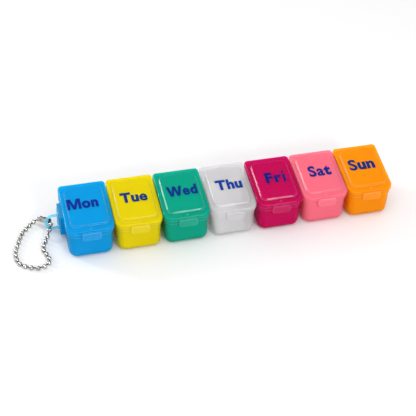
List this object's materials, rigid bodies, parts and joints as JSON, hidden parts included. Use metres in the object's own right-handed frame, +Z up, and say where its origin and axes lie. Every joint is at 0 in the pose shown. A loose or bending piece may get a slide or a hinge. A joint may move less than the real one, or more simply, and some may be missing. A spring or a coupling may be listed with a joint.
{
  "type": "weekly pill box row",
  "caption": "Row of detachable pill boxes with hinged sloping lids, joined by slide rails, with a D-shaped key loop and ball chain.",
  "frame": {"origin": "centre of the underside of the middle box, on the table", "axes": "+X along the row from the key loop's end to the free rail, +Y to the hinges, +Z up"},
  "size_m": [0.2019, 0.0377, 0.0243],
  "materials": {
    "plastic_mon": "translucent moulded polypropylene, satin gloss",
    "plastic_tue": "translucent moulded polypropylene, satin gloss",
    "plastic_wed": "translucent moulded polypropylene, satin gloss",
    "plastic_thu": "translucent moulded polypropylene, satin gloss",
    "plastic_fri": "translucent moulded polypropylene, satin gloss",
    "plastic_sat": "translucent moulded polypropylene, satin gloss",
    "plastic_sun": "translucent moulded polypropylene, satin gloss",
    "plastic_loop": "translucent moulded polypropylene, pale cyan",
    "chain_metal": "bright nickel plate"
  },
  "bodies": {
    "box_mon": {"cup_mon": "plastic_mon"},
    "cover_mon": {"lid_mon": "plastic_mon"},
    "box_tue": {"cup_tue": "plastic_tue"},
    "cover_tue": {"lid_tue": "plastic_tue"},
    "box_wed": {"cup_wed": "plastic_wed"},
    "cover_wed": {"lid_wed": "plastic_wed"},
    "box_thu": {"cup_thu": "plastic_thu"},
    "cover_thu": {"lid_thu": "plastic_thu"},
    "box_fri": {"cup_fri": "plastic_fri"},
    "cover_fri": {"lid_fri": "plastic_fri"},
    "box_sat": {"cup_sat": "plastic_sat"},
    "cover_sat": {"lid_sat": "plastic_sat"},
    "box_sun": {"cup_sun": "plastic_sun"},
    "cover_sun": {"lid_sun": "plastic_sun"},
    "loop": {"key_loop": "plastic_loop"},
    "chain": {"bead_01": "chain_metal", "bead_02": "chain_metal", "bead_03": "chain_metal", "bead_04": "chain_metal", "bead_05": "chain_metal", "bead_06": "chain_metal", "bead_07": "chain_metal", "bead_08": "chain_metal", "bead_09": "chain_metal", "bead_10": "chain_metal", "bead_11": "chain_metal", "bead_12": "chain_metal", "bead_13": "chain_metal", "bead_14": "chain_metal", "bead_15": "chain_metal", "bead_16": "chain_metal", "bead_17": "chain_metal", "bead_18": "chain_metal", "bead_19": "chain_metal", "bead_20": "chain_metal", "bead_21": "chain_metal", "bead_22": "chain_metal", "bead_23": "chain_metal", "bead_24": "chain_metal", "bead_25": "chain_metal", "bead_26": "chain_metal", "bead_27": "chain_metal", "chain_links": "chain_metal", "chain_connector": "chain_metal"}
  },
  "joints": [
    {"name": "lid_hinge_mon", "type": "hinge", "parent": "box_mon", "child": "cover_mon", "pos_m": [-0.075, 0.0165, 0.0166], "axis": [-1, 0, 0], "range_deg": [0, 150]},
    {"name": "lid_hinge_tue", "type": "hinge", "parent": "box_tue", "child": "cover_tue", "pos_m": [-0.05, 0.0165, 0.0166], "axis": [-1, 0, 0], "range_deg": [0, 150]},
    {"name": "lid_hinge_wed", "type": "hinge", "parent": "box_wed", "child": "cover_wed", "pos_m": [-0.025, 0.0165, 0.0166], "axis": [-1, 0, 0], "range_deg": [0, 150]},
    {"name": "lid_hinge_thu", "type": "hinge", "parent": "box_thu", "child": "cover_thu", "pos_m": [0, 0.0165, 0.0166], "axis": [-1, 0, 0], "range_deg": [0, 150]},
    {"name": "lid_hinge_fri", "type": "hinge", "parent": "box_fri", "child": "cover_fri", "pos_m": [0.025, 0.0165, 0.0166], "axis": [-1, 0, 0], "range_deg": [0, 150]},
    {"name": "lid_hinge_sat", "type": "hinge", "parent": "box_sat", "child": "cover_sat", "pos_m": [0.05, 0.0165, 0.0166], "axis": [-1, 0, 0], "range_deg": [0, 150]},
    {"name": "lid_hinge_sun", "type": "hinge", "parent": "box_sun", "child": "cover_sun", "pos_m": [0.075, 0.0165, 0.0166], "axis": [-1, 0, 0], "range_deg": [0, 150]},
    {"name": "rail_slide_sat", "type": "slide", "parent": "box_sun", "child": "box_sat", "axis": [0, 0, 1], "range_m": [0, 0.011]},
    {"name": "rail_slide_fri", "type": "slide", "parent": "box_sat", "child": "box_fri", "axis": [0, 0, 1], "range_m": [0, 0.011]},
    {"name": "rail_slide_thu", "type": "slide", "parent": "box_fri", "child": "box_thu", "axis": [0, 0, 1], "range_m": [0, 0.011]},
    {"name": "rail_slide_wed", "type": "slide", "parent": "box_thu", "child": "box_wed", "axis": [0, 0, 1], "range_m": [0, 0.011]},
    {"name": "rail_slide_tue", "type": "slide", "parent": "box_wed", "child": "box_tue", "axis": [0, 0, 1], "range_m": [0, 0.011]},
    {"name": "rail_slide_mon", "type": "slide", "parent": "box_tue", "child": "box_mon", "axis": [0, 0, 1], "range_m": [0, 0.011]},
    {"name": "rail_slide_loop", "type": "slide", "parent": "box_mon", "child": "loop", "axis": [0, 0, 1], "range_m": [0, 0.011]},
    {"name": "chain_swing", "type": "hinge", "parent": "loop", "child": "chain", "pos_m": [-0.0954, 0.008, 0.0012], "axis": [0, 0, 1], "range_deg": [-25, 10]}
  ]
}
